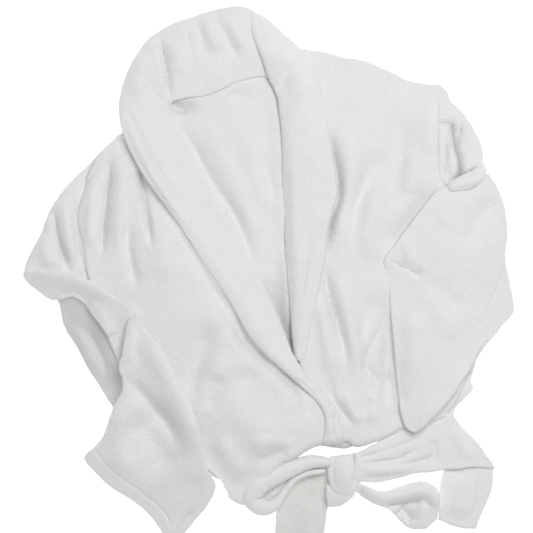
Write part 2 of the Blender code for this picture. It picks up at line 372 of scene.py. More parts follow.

# The bodies of the two lower sleeves, whose pieces are baked where they stand instead of riding on a body.
# Each has two places, both in metres.
BENDS = {
    "right_lower_arm": ((-0.255, 0.021, 0.0), (-0.220, -0.080, 0.0)),
    "left_lower_arm": ((0.265, 0.152, 0.0), (0.282, 0.094, 0.0)),
}


def unit_normals(sheet):
    """The unit vector square to the sheet at each place, upward where rows run down and columns right."""
    square = np.cross(np.gradient(sheet, axis=0), np.gradient(sheet, axis=1))
    return square / np.maximum(np.linalg.norm(square, axis=-1, keepdims=True), 1e-12)


def edge_distance(sheet):
    """How far each place is from the sheet's nearest edge, measured along its row or its column."""

    def to_ends(axis):
        """How far each place is from the nearer end of its own row or column."""
        run = np.linalg.norm(np.diff(sheet, axis=axis), axis=-1)
        run = np.insert(np.cumsum(run, axis=axis), 0, 0, axis=axis)
        whole = np.take(run, [-1], axis=axis)
        return np.minimum(run, whole - run)

    return np.minimum(to_ends(0), to_ends(1))


def pile_height(sheet, amount):
    """The plush's clumps of two sizes, set by each place's x, y and z together so that plies differ."""
    a = sheet[..., 0] + 0.6 * sheet[..., 2]
    b = sheet[..., 1] + 0.8 * sheet[..., 2]
    return amount * MM * (0.5 * mottle(a, b, LARGE_CLUMP, 3) + 0.5 * mottle(a, b, SMALL_CLUMP, 4))


def frayed(sheet, reach, amount):
    """The sheet with its rim pushed to and fro by small clumps of pile, so that its outline is uneven."""
    a, b = sheet[..., 0] + sheet[..., 2], sheet[..., 1] - sheet[..., 2]
    push = np.stack([
        mottle(a, b, FINE_TUFT, 7) + mottle(a, b, BROAD_TUFT, 8),
        mottle(a, b, FINE_TUFT, 9) + mottle(a, b, BROAD_TUFT, 10),
        0 * a,
    ], axis=-1)
    return sheet + push * amount * MM * (1 - reach[..., None])


def cloth(name, sheet, thickness, rim, finish, nodes=(), body="robe", pile=PILE):
    """A closed cloth round a sheet: half its thickness on each side, thinned to the rim in a quarter round.

    Its upper side has the pile, and it is held just above the floor."""
    reach = np.clip(edge_distance(sheet) / (rim * MM), 0, 1)
    half = thickness * MM / 2 * np.sqrt(1 - (1 - reach) ** 2)
    sheet = frayed(sheet, reach, FRAY * pile)
    sheet[..., 2] = np.maximum(sheet[..., 2], half + FLOOR_GAP * MM)
    normal = unit_normals(sheet)
    fur = pile_height(sheet, pile) * (0.4 + 0.6 * reach)
    over = sheet + normal * (half + fur)[..., None]
    under = sheet - normal * half[..., None]
    rows, columns = sheet.shape[:2]
    over_index = np.arange(rows * columns).reshape(rows, columns)
    under_index = over_index.copy()
    inner = (rows - 2) * (columns - 2)
    under_index[1:-1, 1:-1] = rows * columns + np.arange(inner).reshape(rows - 2, columns - 2)
    places = np.vstack([over.reshape(-1, 3), under[1:-1, 1:-1].reshape(-1, 3)])
    faces = [quads(over_index), quads(under_index)[:, ::-1]]
    piece(name, places, faces, finish, nodes, body)


def quads(index):
    """The four-cornered faces of a grid of vertex numbers, facing up on a sheet whose rows run down."""
    corners = [index[:-1, :-1], index[1:, :-1], index[1:, 1:], index[:-1, 1:]]
    return np.stack(corners, axis=-1).reshape(-1, 4)


def piece(name, places, faces, finish, nodes, body):
    """An object from places and faces, riding on a body, or baked in place for a lower sleeve, standing for
    its CAD nodes.
    """
    mesh = bpy.data.meshes.new(name)
    mesh.from_pydata(places.tolist(), [], np.vstack(faces).tolist())
    mesh.polygons.foreach_set("use_smooth", np.ones(len(mesh.polygons), bool))
    mesh.materials.append(finish)
    obj = bpy.data.objects.new(name, mesh)
    bpy.context.scene.collection.objects.link(obj)
    if body in BENDS:
        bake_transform(obj)
    else:
        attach(obj, body)
    if nodes:
        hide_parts(*nodes)


def rolled_band(name, path, widths, heights, finish, nodes):
    """A rolled band along a path: an upright ellipse carried square to it, narrowed to a close at its ends.

    widths and heights are the ellipse's half sizes in mm, and the narrowing is sqrt(1 - (2t - 1)^16)."""
    line = smooth_curve(path, BAND_STEPS)
    ahead = np.gradient(line, axis=0)
    side = np.stack([-ahead[:, 1], ahead[:, 0], 0 * ahead[:, 0]], axis=1)
    side /= np.linalg.norm(side, axis=1, keepdims=True)
    t = np.linspace(0, 1, BAND_STEPS)
    close = np.sqrt(np.clip(1 - (2 * t - 1) ** 16, 0, 1))[:, None]
    angle = np.linspace(0, 2 * np.pi, BAND_SIDES, endpoint=False)
    wide = np.interp(t, np.linspace(0, 1, len(widths)), widths)[:, None] * MM * close
    high = np.interp(t, np.linspace(0, 1, len(heights)), heights)[:, None] * MM * close
    ring = (line[:, None] + (wide * np.cos(angle))[..., None] * side[:, None]
            + (high * np.sin(angle))[..., None] * np.array([0, 0, 1.0]))
    ring[..., 2] += pile_height(ring, PILE)
    index = np.arange(BAND_STEPS * BAND_SIDES).reshape(BAND_STEPS, BAND_SIDES)
    index = np.hstack([index, index[:, :1]])
    piece(name, ring.reshape(-1, 3), [quads(index)[:, ::-1]], finish, nodes, "robe")


def box_sheet(node, across, along):
    """The flat sheet through the middle of a CAD node's box."""
    low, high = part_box(node)
    left, right, top, bottom = low.x / MM, high.x / MM, high.y / MM, low.y / MM
    z = (low.z + high.z) / 2 / MM
    left_edge = [(left, top, z), (left, bottom, z)]
    right_edge = [(right, top, z), (right, bottom, z)]
    return two_sided(left_edge, right_edge, across, along)


# ---------------------------------------------------------------- the body

# Where the skirt is folded and where its hem lies, and the most that the chest bulges past its own edge.
SKIRT_FOLD_Y = 115.0
SKIRT_BOTTOM_Y = -165.0
MOST_BULGE = 24.0
TURN_STEPS, SKIRT_STEPS = 18, 26


def folded_under(chest, skirt_left, skirt_right, skirt_height, hem_height):
    """The chest sheet carried on under itself: a half turn, up to the skirt's fold, a half turn, back down.

    The half turns are half ellipses, y = -r sin(a) and z between the two plies as cos(a)."""
    columns = chest.shape[1]
    bottom = chest[-1]
    drop = bottom[:, 2] - skirt_height * MM
    bulge = np.minimum(drop, MOST_BULGE * MM) / 2
    chest = chest.copy()
    lead = ease((np.arange(len(chest)) / (len(chest) - 1) - 0.6) / 0.4)[:, None]
    chest[..., 1] += lead * bulge
    angle = np.linspace(0, np.pi, TURN_STEPS)[1:, None]
    turn = np.stack([
        np.broadcast_to(bottom[:, 0], (TURN_STEPS - 1, columns)),
        chest[-1][:, 1] - bulge * np.sin(angle),
        skirt_height * MM + drop / 2 * (1 + np.cos(angle)),
    ], axis=-1)
    far = np.stack([np.linspace(skirt_left, skirt_right, columns) * MM,
                    np.full(columns, SKIRT_FOLD_Y * MM), np.full(columns, skirt_height * MM)], axis=-1)
    way = np.linspace(0, 1, SKIRT_STEPS)[1:, None, None]
    rising = turn[-1] * (1 - way) + far * way
    radius = (skirt_height - hem_height) / 2 * MM
    back = np.broadcast_to(far, (TURN_STEPS - 1, columns, 3)).copy()
    back[..., 1] += radius * np.sin(angle)
    back[..., 2] = hem_height * MM + radius * (1 + np.cos(angle))
    last = far.copy()
    last[:, 1:] = SKIRT_BOTTOM_Y * MM, hem_height * MM
    falling = back[-1] * (1 - way) + last * way
    return np.concatenate([chest, turn, rising, back, falling])


def make_back(finish):
    """The back: its inside shows in the neck opening, where it lies in soft waves."""
    sheet = four_sided(
        [(-196, 222, 18), (-226, 188, 14), (-238, 129, 14), (-224, -6, 18), (-184, -128, 18),
         (-93, -230, 20),
         (-53, -250, 22)],
        [(227, 272, 22), (231, 156, 26), (263, -20, 26), (264, -87, 24), (236, -148, 24)],
        [(-196, 222, 18), (-161, 254, 28), (-131, 278, 36), (-93, 284, 38), (-66, 290, 38), (-49, 298, 38),
         (-26, 305, 38), (-7, 309, 36), (36, 316, 28), (99, 313, 22), (167, 291, 20), (227, 272, 22)],
        [(-53, -250, 22), (-9, -240, 22), (42, -200, 20), (70, -197, 16), (104, -199, 14), (126, -191, 16),
         (155, -189, 24), (182, -188, 24), (208, -168, 24), (236, -148, 24)],
        170, 170)
    raise_by = dome(sheet, (-10, 130), (130, 190), 17)
    add_folds(raise_by, sheet, (
        ([(-131, 248), (-115, 223), (-100, 196), (-86, 169), (-72, 145), (-58, 126), (-45, 105), (-31, 72),
          (-22, 45), (-14, 24)], 9, -7),
        ([(-99, 253), (-82, 223), (-63, 186), (-45, 151), (-28, 109), (-9, 68)], 12, 3),
        ([(-19, 199), (-9, 176), (1, 153), (9, 129)], 8, -2.5),
        ([(-34, 237), (-18, 169), (-1, 102)], 12, 2.5),
        ([(-4, 26), (4, -6), (15, -47)], 12, -1.5),
        ([(-9, 318), (7, 275), (20, 196), (24, 115), (26, 37)], 15, 5),
        ([(20, 80), (26, 34), (30, -13), (36, -74)], 11, 7.5),
    ))
    raise_by += dome(sheet, (-38, 268), (16, 9), -5) + dome(sheet, (-117, 254), (16, 9), -14)
    raise_by += fold(sheet, [(-134, 269), (-126, 256), (-107, 246)], 5, -7, (0.2, 0.4))
    sheet = lift(sheet, raise_by + crumple(sheet, 0.9, 0.05, 11))
    sheet = folded_under(sheet, -150, 205, 30, 2.6)
    cloth("back_panel_cloth", sheet, 4.5, 4, finish, ["back_panel"])


def make_right_front(finish):
    """The wearer's right front, on top at the waist: gathers run down from the shoulder and the lapel."""
    sheet = four_sided(
        [(-204, 218, 34), (-232, 188, 34), (-250, 149, 36), (-259, 115, 38), (-255, 68, 42), (-244, 24, 44),
         (-221, -47, 36), (-181, -128, 30), (-120, -209, 29), (-74, -246, 28), (-55, -272, 27)],
        [(-185, 210, 44), (-161, 163, 50), (-120, 106, 54), (-73, 41, 55), (-26, -22, 56), (22, -80, 55),
         (69, -134, 52), (93, -168, 48), (100, -196, 42)],
        [(-204, 218, 34), (-185, 210, 44)],
        [(-55, -272, 27), (-39, -281, 26), (-27, -280, 27), (-9, -263, 33), (12, -232, 40), (34, -219, 44),
         (55, -206, 44), (74, -200, 44), (100, -196, 42)],
        160, 190)
    raise_by = dome(sheet, (-107, -6), (110, 140), 8) + dome(sheet, (-9, -179), (60, 66), 15)
    raise_by += dome(sheet, (-173, 161), (7, 11), -9) + dome(sheet, (-34, -51), (12, 20), -6)
    add_folds(raise_by, sheet, (
        ([(-231, 172), (-248, 149), (-258, 129), (-262, 113), (-261, 94), (-256, 72),
          (-252, 45), (-247, 18)], 4.5, -10),
        ([(-212, 188), (-216, 167), (-219, 142), (-221, 118), (-223, 94), (-224, 72), (-227, 45)], 5.5, -9),
        ([(-204, 202), (-200, 156), (-202, 109), (-205, 55)], 9, 5),
        ([(-228, 169), (-239, 136), (-242, 95), (-239, 55)], 7, 4),
        ([(-177, 178), (-171, 161), (-169, 142), (-166, 121), (-162, 94), (-157, 61)], 5, -9),
        ([(-190, 109), (-190, 75), (-185, 41), (-176, 5)], 8, -4.5),
        ([(-147, 115), (-143, 68), (-136, 14)], 20, 4),
        ([(-196, 196), (-174, 156), (-158, 134), (-143, 113), (-122, 83), (-97, 45), (-63, -9)], 9, -5),
        ([(-97, 45), (-73, 7), (-51, -26), (-35, -55), (-14, -80), (18, -109), (43, -130), (61, -149),
          (69, -173)], 11, -8),
        ([(-74, -30), (-88, -67), (-101, -103), (-109, -146)], 18, -7),
        ([(-63, -67), (-74, -101), (-88, -136), (-94, -168)], 12, 3),
        ([(-63, -106), (-77, -136), (-84, -163)], 14, -4),
        ([(-28, -90), (-23, -136), (-18, -190)], 30, -6),
        ([(8, -114), (20, -141), (31, -175)], 13, 3),
        ([(-74, -190), (-50, -227), (-26, -252)], 15, 7),
        ([(-39, -130), (-26, -176), (-15, -230)], 30, 6),
        ([(-18, -238), (4, -226), (28, -215)], 10, -3.5),
        ([(-26, -217), (1, -209), (31, -202)], 11, 4),
        ([(23, -114), (39, -136), (51, -157), (59, -182)], 7, -3),
        ([(-39, -47), (-18, -74), (9, -101)], 6, -3.5),
        ([(36, -152), (46, -163), (54, -176)], 3.5, -1.5),
        ([(-9, -195), (20, -200), (42, -195)], 3.5, -0.9),
    ))
    sheet = lift(sheet, raise_by + crumple(sheet, 1.1, 0.045, 21))
    sheet = folded_under(sheet, -146, 80, 20.5, 11.5)
    cloth("right_front_cloth", sheet, 5, 5, finish, ["right_front_panel"])


def make_left_front(finish):
    """The wearer's left front: long folds slant from the armhole to the waist."""
    sheet = four_sided(
        [(20, 337, 36), (42, 277, 46), (50, 210, 48), (52, 142, 48), (40, 61, 50), (34, -20, 50),
         (36, -74, 48),
         (52, -134, 46), (76, -175, 44), (88, -203, 40)],
        [(231, 284, 28), (229, 237, 40), (229, 200, 41), (231, 165, 41), (240, 142, 42), (255, 61, 44),
         (266, -20, 42),
         (269, -87, 36), (259, -134, 32), (240, -162, 28)],
        [(20, 337, 36), (73, 330, 34), (99, 323, 30), (132, 317, 28), (167, 302, 28), (194, 290, 28),
         (231, 284, 28)],
        [(88, -203, 40), (104, -196, 42), (120, -203, 42), (144, -196, 42), (163, -188, 40),
         (180, -179, 38),
         (211, -173, 34), (240, -162, 28)],
        140, 190)
    raise_by = dome(sheet, (150, 150), (80, 130), 8)
    add_folds(raise_by, sheet, (
        ([(80, 234), (85, 196), (92, 159), (93, 132), (84, 105), (77, 72), (74, 45)], 8, -9),
        ([(104, 237), (112, 183), (109, 134), (99, 95), (96, 48)], 12, 5),
        ([(158, 207), (144, 175), (128, 142), (113, 110), (115, 83)], 15, -7),
        ([(173, 264), (174, 226), (176, 196), (170, 164), (165, 137), (171, 102)], 17, -6.5),
        ([(150, 161), (140, 122), (134, 82), (138, 45)], 13, 4.5),
        ([(193, 196), (193, 163), (182, 134)], 10, 4),
        ([(221, 269), (215, 223), (215, 183)], 12, 3),
        ([(76, 51), (78, 14), (88, -22), (99, -60), (107, -103)], 7, -8),
        ([(93, 37), (104, -13), (115, -67), (120, -121)], 10, 5),
        ([(66, 14), (72, -33), (82, -80), (88, -128)], 9, 4),
        ([(153, -36), (140, -64), (131, -98), (142, -119), (138, -149)], 6, -3.8),
        ([(139, 7), (131, -33), (120, -74)], 10, -3.5),
        ([(84, -109), (85, -141), (101, -168), (117, -184)], 6, -5),
        ([(104, -134), (112, -161), (126, -184)], 7, 4),
        ([(150, 16), (153, -13), (158, -47), (161, -87), (157, -130), (151, -160), (153, -184)], 13, -6.5),
        ([(142, -130), (144, -155), (136, -184)], 8, 4),
        ([(161, -103), (166, -141), (170, -190)], 11, -4),
        ([(231, 153), (212, 129), (188, 97), (158, 61)], 16, -5),
        ([(82, 310), (109, 313)], 8, -2.5),
    ))
    sheet = lift(sheet, raise_by + crumple(sheet, 1.1, 0.045, 31))
    sheet = folded_under(sheet, 20, 202, 25, 7)
    cloth("left_front_cloth", sheet, 5, 5, finish, ["left_front_panel"])


def make_pockets(finish):
    """The two patch pockets, flat on the front skirts inside the folds."""
    for node in ("right_pocket", "left_pocket"):
        cloth(node + "_cloth", box_sheet(node, 40, 40), 2.2, 2, finish, [node], pile=0.15)


# ---------------------------------------------------------------- the collar


def make_collar(finish):
    """The shawl collar from behind the neck down the wearer's right front.

    Its outer side is rolled and its inner side sinks into the back."""
    sheet = paired([
        ((1, 367, 36), (4, 292, 46.4)),
        ((-26, 387, 38), (-9, 295, 46.4)),
        ((-46, 391, 38), (-27, 292, 46.6)),
        ((-66, 388, 38), (-45, 287, 46.6)),
        ((-85, 383, 38), (-66, 276, 46.6)),
        ((-107, 376, 38), (-88, 269, 46.6)),
        ((-131, 367, 38), (-107, 267, 46.6)),
        ((-147, 358, 40), (-120, 264, 46.4)),
        ((-165, 344, 42), (-131, 260, 45)),
        ((-177, 327, 44), (-132, 248, 39)),
        ((-188, 307, 46), (-128, 236, 38)),
        ((-196, 287, 48), (-123, 222, 38)),
        ((-201, 267, 50), (-115, 206, 38)),
        ((-202, 248, 53), (-108, 191, 38)),
        ((-198, 223, 56), (-99, 173, 38)),
        ((-186, 194, 59), (-85, 151, 38)),
        ((-170, 164, 60), (-72, 129, 38)),
        ((-154, 141, 60), (-57, 107, 38)),
        ((-139, 121, 60), (-45, 86, 38)),
        ((-117, 90, 60), (-31, 60, 38)),
        ((-93, 52, 60), (-16, 33, 40)),
        ((-69, 16, 60), (-3, 6, 43)),
        ((-47, -18, 60), (9, -20, 47)),
        ((-31, -47, 60), (20, -47, 51)),
        ((-9, -74, 60), (32, -78, 54)),
        ((22, -102, 59), (49, -106, 55)),
        ((47, -124, 57), (66, -130, 54)),
        ((66, -142, 55), (84, -153, 52)),
        ((76, -163, 52), (94, -173, 50)),
        ((76, -182, 49), (100, -187, 47)),
        ((73, -195, 45), (101, -192, 44)),
        ((74, -203, 34), (100, -200, 34)),
    ], 90, 420)
    u = np.linspace(0, 1, 90)[None, :]
    v = np.linspace(0, 1, 420)[:, None]
    swell = 10 - 5 * ease((v - 0.6) / 0.3)
    raise_by = swell * MM * np.sin(np.pi * u**0.8)
    add_folds(raise_by, sheet, (
        ([(-151, 353), (-143, 331), (-138, 302), (-135, 277), (-128, 259)], 5.5, -7),
        ([(-166, 329), (-174, 298), (-178, 264)], 13, 4),
        ([(-171, 296), (-158, 276), (-139, 250)], 6, -3.5),
        ([(-198, 259), (-186, 240), (-165, 202), (-142, 159), (-107, 110)], 4, -3),
        ([(-196, 248), (-180, 210), (-158, 167), (-134, 129), (-104, 86)], 4, 2.5),
        ([(-77, 394), (-63, 361), (-39, 318)], 7, -2),
        ([(-101, 388), (-93, 353), (-82, 310)], 7, -2),
        ([(-112, 367), (-107, 342), (-101, 313)], 5, -1.6),
        ([(-85, 375), (-77, 350), (-63, 323)], 6, 3),
        ([(-55, 377), (-45, 356), (-31, 329)], 8, 3),
        ([(-126, 350), (-123, 325), (-117, 291)], 8, 3),
        ([(-99, 318), (-63, 326), (-26, 329)], 14, -3),
        ([(-117, 86), (-93, 45), (-63, -1), (-31, -41)], 4, 2),
        ([(-99, 107), (-74, 70), (-45, 24), (-9, -22)], 6, -2),
        ([(36, -109), (58, -130), (72, -146)], 3, -3),
        ([(84, -157), (88, -176), (86, -195)], 3, -3),
    ))
    sheet = lift(sheet, raise_by + crumple(sheet, 0.9, 0.03, 51))
    cloth("collar_cloth", sheet, 6, 5, finish, ["back_collar", "right_lapel"])


def make_left_lapel(finish):
    """The wearer's left lapel, from behind the neck down the front, with a thick inner edge."""
    sheet = paired([
        ((-31, 383, 36), (-18, 380, 34)),
        ((-27, 375, 44), (-1, 371, 38)),
        ((-23, 357, 52), (16, 356, 42)),
        ((-16, 337, 56), (34, 340, 44)),
        ((-8, 317, 56), (49, 325, 46)),
        ((-1, 296, 54), (59, 304, 50)),
        ((7, 280, 52), (68, 286, 53)),
        ((12, 267, 51), (72, 267, 55)),
        ((15, 245, 50), (77, 245, 57)),
        ((18, 221, 50), (80, 221, 59)),
        ((19, 194, 50), (84, 194, 60)),
        ((19, 161, 48), (90, 161, 61)),
        ((20, 134, 47), (92, 137, 61)),
        ((22, 107, 46), (84, 109, 60)),
        ((23, 78, 46), (78, 78, 59)),
        ((24, 51, 46), (76, 51, 58)),
        ((27, 18, 45), (70, 21, 56)),
        ((30, -17, 44), (63, -14, 54)),
        ((32, -53, 44), (55, -52, 51)),
        ((36, -90, 44), (50, -87, 46)),
    ], 70, 320)
    u = np.linspace(0, 1, 70)[None, :]
    v = np.linspace(0, 1, 320)[:, None]
    swell = 9 * MM * np.sin(np.pi * u**0.7)
    raise_by = swell * (0.4 + 0.6 * ease(v / 0.2)) * (1 - 0.4 * ease((v - 0.7) / 0.3))
    add_folds(raise_by, sheet, (
        ([(31, 318), (23, 294), (15, 269)], 9, -3),
        ([(9, 345), (20, 318), (39, 291), (50, 250)], 12, 3),
        ([(59, 86), (54, 59), (49, 28), (42, -13)], 4, -2.5),
        ([(31, 223), (34, 156), (36, 75), (38, -6)], 7, 2),
    ))
    sheet = lift(sheet, raise_by + crumple(sheet, 0.9, 0.03, 61))
    cloth("left_lapel_cloth", sheet, 8, 6, finish, ["left_lapel"])


# ---------------------------------------------------------------- the sleeves


def make_right_upper_sleeve(finish):
    """The wearer's right sleeve from the armhole seam to the elbow, in two long folds."""
    sheet = four_sided(
        [(-225, 199, 24), (-244, 179, 22), (-259, 164, 23), (-277, 145, 26), (-289, 129, 25),
         (-297, 115, 24),
         (-304, 99, 24), (-309, 84, 22), (-323, 59, 22), (-331, 41, 22), (-332, 28, 22)],
        [(-215, 194, 20), (-228, 167, 21), (-242, 132, 24), (-244, 95, 29), (-236, 55, 37), (-228, 21, 38),
         (-220, -13, 38)],
        [(-225, 199, 24), (-215, 194, 20)],
        [(-332, 28, 22), (-282, 10, 34), (-220, -13, 38)],
        80, 130)
    raise_by = dome(sheet, (-279, 88), (34, 60), 8)
    add_folds(raise_by, sheet, (
        ([(-292, 122), (-289, 99), (-285, 75), (-278, 53), (-266, 26)], 5.5, -9),
        ([(-279, 134), (-274, 102), (-269, 68), (-259, 40)], 6, 5),
        ([(-269, 140), (-263, 109), (-258, 68), (-250, 32)], 4, -4),
        ([(-304, 86), (-304, 61), (-293, 37)], 8, 4),
    ))
    sheet = lift(sheet, raise_by + crumple(sheet, 0.9, 0.035, 71))
    cloth("right_upper_sleeve_cloth", sheet, 6, 6, finish, ["right_upper_sleeve"])


def make_right_lower_sleeve(finish, shaded_lining):
    """The wearer's right sleeve below the elbow: turned back, it opens into a hollow by its wide cuff."""
    turn_back = paired([
        ((-333, 32, 34), (-333, 29, 30)),
        ((-323, 34, 42), (-327, 18, 28)),
        ((-304, 34, 50), (-312, 6, 28)),
        ((-282, 33, 56), (-296, -5, 30)),
        ((-262, 29, 60), (-279, -5, 36)),
        ((-244, 22, 63), (-265, -2, 42)),
        ((-227, 13, 66), (-250, -11, 45)),
        ((-212, 3, 69), (-235, -29, 47)),
        ((-198, -6, 66), (-221, -49, 47)),
        ((-185, -18, 60), (-211, -74, 41)),
        ((-181, -30, 46), (-202, -95, 38)),
    ], 70, 170)
    raise_by = crumple(turn_back, 0.8, 0.03, 81) + dome(turn_back, (-198, -55), (13, 30), -12)
    add_folds(raise_by, turn_back, (
        ([(-323, 29), (-282, 26), (-248, 16), (-215, -3)], 9, 5),
        ([(-285, -1), (-261, 5), (-239, -14)], 6, -2.5),
        ([(-239, -6), (-225, -30), (-217, -55)], 9, 3),
    ), (0.2, 0.1))
    cloth("right_sleeve_turn", lift(turn_back, raise_by), 6, 5, finish,
          body="right_lower_arm")
    inside = paired([
        ((-296, 3, 20), (-250, 13, 46)),
        ((-286, -10, 13), (-228, -14, 43)),
        ((-279, -41, 9), (-204, -47, 41)),
        ((-262, -68, 8), (-190, -76, 36)),
        ((-244, -102, 7), (-186, -109, 30)),
        ((-228, -128, 7), (-188, -136, 20)),
        ((-211, -155, 7), (-193, -160, 12)),
    ], 60, 110)
    raise_by = crumple(inside, 0.8, 0.03, 91)
    raise_by += fold(inside, [(-255, -33), (-231, -74), (-212, -121)], 10, -4)
    raise_by += fold(inside, [(-269, -36), (-250, -71), (-228, -111)], 9, 4)
    # The inside's greyer plush is painted shade for the sleeve's dark hollow.
    cloth("right_sleeve_inside", lift(inside, raise_by), 6, 5, shaded_lining,
          body="right_lower_arm")
    flap = paired([
        ((-186, -25, 46), (-180, -24, 52)),
        ((-190, -38, 58), (-171, -36, 70)),
        ((-193, -56, 63), (-157, -55, 74)),
        ((-197, -78, 63), (-140, -76, 75)),
        ((-202, -97, 62), (-130, -95, 74)),
        ((-198, -111, 60), (-122, -113, 73)),
        ((-198, -129, 56), (-111, -132, 72)),
        ((-209, -149, 46), (-101, -153, 71)),
        ((-217, -169, 38), (-94, -176, 70)),
        ((-225, -191, 31), (-90, -198, 67)),
        ((-238, -206, 26), (-86, -217, 63)),
        ((-251, -221, 20), (-81, -236, 58)),
        ((-232, -245, 17), (-73, -252, 50)),
        ((-211, -263, 16), (-74, -267, 44)),
        ((-182, -281, 16), (-85, -287, 36)),
        ((-161, -300, 16), (-99, -303, 30)),
        ((-146, -321, 16), (-113, -321, 26)),
        ((-135, -334, 16), (-124, -331, 22)),
    ], 130, 200)
    raise_by = crumple(flap, 1.0, 0.04, 101)
    add_folds(raise_by, flap, (
        ([(-196, -103), (-176, -126), (-157, -148), (-138, -169), (-124, -191), (-115, -219)], 12, -8),
        ([(-174, -144), (-158, -176), (-142, -214), (-131, -252)], 30, -11),
        ([(-176, -44), (-150, -82), (-126, -126), (-107, -173), (-94, -219)], 15, 8),
        ([(-190, -133), (-201, -173), (-201, -217), (-182, -254)], 15, 6),
        ([(-182, -25), (-184, -41), (-185, -57), (-188, -76), (-190, -98)], 9, 4),
        ([(-86, -241), (-84, -257), (-94, -276), (-112, -298)], 6, 3),
    ))
    raise_by += dome(flap, (-215, -175), (5, 9), -3)
    for seam in ([(-236, -207), (-220, -229), (-198, -248), (-169, -269), (-147, -288), (-131, -311)],
                 [(-81, -253), (-86, -268), (-97, -284), (-111, -299), (-126, -317)]):
        raise_by += fold(flap, seam, 2.5, -1.1, (0.05, 0.05))
    cloth("right_sleeve_cloth", lift(flap, raise_by), 6, 5, finish,
          ["right_lower_sleeve", "right_cuff_hem"], "right_lower_arm")


def make_left_upper_sleeve(finish):
    """The wearer's left sleeve at the armhole: pleated, then hidden under its own lower half."""
    sheet = four_sided(
        [(198, 283, 24), (197, 237, 42), (197, 196, 45), (200, 156, 45), (217, 109, 42), (239, -6, 34),
         (228, -114, 26), (209, -176, 20)],
        [(231, 287, 26), (242, 276, 24), (247, 263, 24), (259, 252, 22), (271, 237, 22), (282, 217, 24),
         (290, 195, 28), (290, 176, 34), (296, 153, 36), (304, 109, 34), (306, 34, 26), (290, -47, 20),
         (281, -92, 18), (275, -115, 18), (277, -128, 18), (254, -153, 18), (251, -167, 20)],
        [(198, 283, 24), (231, 287, 26)],
        [(209, -176, 20), (231, -173, 20), (251, -167, 20)],
        70, 240)
    raise_by = dome(sheet, (269, 210), (24, 36), 10) + dome(sheet, (239, 259), (18, 24), 6)
    raise_by += fold(sheet, [(225, 232), (240, 234), (255, 236)], 3.5, -5, (0.3, 0.3))
    raise_by += fold(sheet, [(248, 237), (252, 203), (258, 179), (258, 151)], 4.8, -13, (0.1, 0.1))
    raise_by += crease(sheet, [(248, 236), (252, 203), (258, 179), (258, 153)], 2.6, -9, (0.1, 0.1))
    raise_by += fold(sheet, [(262, 236), (259, 218), (255, 199)], 3.5, -4, (0.2, 0.3))
    add_folds(raise_by, sheet, (
        ([(242, 210), (244, 183), (240, 153)], 5, -6),
        ([(232, 226), (235, 196), (236, 167)], 5, 3),
        ([(243, 148), (252, 156), (271, 163), (288, 175)], 5, -8),
        ([(255, -121), (266, -111), (277, -103)], 4, -3),
        ([(231, -161), (247, -141), (261, -133)], 4, -3),
    ))
    sheet = lift(sheet, raise_by + crumple(sheet, 0.9, 0.03, 111))
    cloth("left_upper_sleeve_cloth", sheet, 6, 6, finish, ["left_upper_sleeve"])
    roll = paired([
        ((290, 178, 40), (293, 167, 42)),
        ((281, 173, 47), (285, 156, 51)),
        ((271, 167, 50), (274, 145, 54)),
        ((258, 160, 50), (259, 141, 56)),
        ((244, 151, 48), (244, 141, 54)),
        ((235, 144, 46), (236, 140, 50)),
    ], 36, 70)
    roll = lift(roll, fold(roll, [(293, 172), (277, 157), (258, 151), (240, 145)], 7, 7, (0.1, 0.1)))
    cloth("left_sleeve_roll", roll, 8, 5, finish)


def make_left_lower_sleeve(finish):
    """The wearer's left sleeve below the elbow, folded down over the front: a wide flap with a point."""
    sheet = four_sided(
        [(240, 146, 50), (227, 142, 52), (216, 130, 53), (196, 105, 54), (176, 78, 54), (155, 49, 54),
         (158, 32, 51), (161, 7, 50), (165, -40, 50), (170, -94, 51), (174, -130, 50), (178, -161, 49),
         (185, -179, 48), (196, -186, 47)],
        [(297, 164, 44), (309, 146, 40), (319, 118, 38), (323, 82, 38), (320, 53, 38), (325, 24, 34),
         (329, 3, 31), (332, -21, 28), (316, -40, 33), (300, -55, 40), (285, -72, 46)],
        [(240, 146, 50), (256, 149, 48), (273, 155, 47), (286, 163, 45), (297, 164, 44)],
        [(196, -186, 47), (208, -178, 49), (225, -160, 54), (242, -141, 54), (265, -107, 52),
         (285, -72, 46)],
        160, 210)
    raise_by = dome(sheet, (244, 82), (56, 75), 12) + dome(sheet, (220, -60), (50, 80), 9)
    raise_by += crease(sheet, [(161, 48), (178, 40), (193, 33), (212, 20)], 2.5, -1.8, (0.05, 0.35))
    raise_by += dome(sheet, (201, 30), (7, 5), -3.5) + dome(sheet, (254, 2), (9, 11), 2.5)
    raise_by += dome(sheet, (244, -13), (11, 8), -2) + dome(sheet, (188, 59), (8, 11), 3)
    add_folds(raise_by, sheet, (
        ([(312, 137), (293, 118), (275, 94), (269, 53)], 15, -4.5),
        ([(177, 56), (196, 48), (217, 32)], 9, 1.5),
        ([(212, 20), (244, -3), (271, -17)], 12, -2.5),
        ([(182, -155), (176, -121), (174, -80)], 8, -4),
        ([(209, 21), (231, -22), (244, -67)], 14, 2.5),
        ([(190, -6), (196, -67), (201, -128)], 14, 3),
        ([(231, 88), (247, 122), (271, 129)], 14, 3),
    ))
    for seam in ([(320, 61), (315, 32), (298, -10), (288, -36)],
                 [(267, -25), (288, -40), (298, -47)]):
        raise_by += fold(sheet, seam, 2.4, -0.9, (0.1, 0.1))
    sheet = lift(sheet, raise_by + crumple(sheet, 1.0, 0.045, 121))
    cloth("left_sleeve_cloth", sheet, 6, 5, finish,
          ["left_lower_sleeve", "left_cuff_hem"], "left_lower_arm")


# ---------------------------------------------------------------- the belt


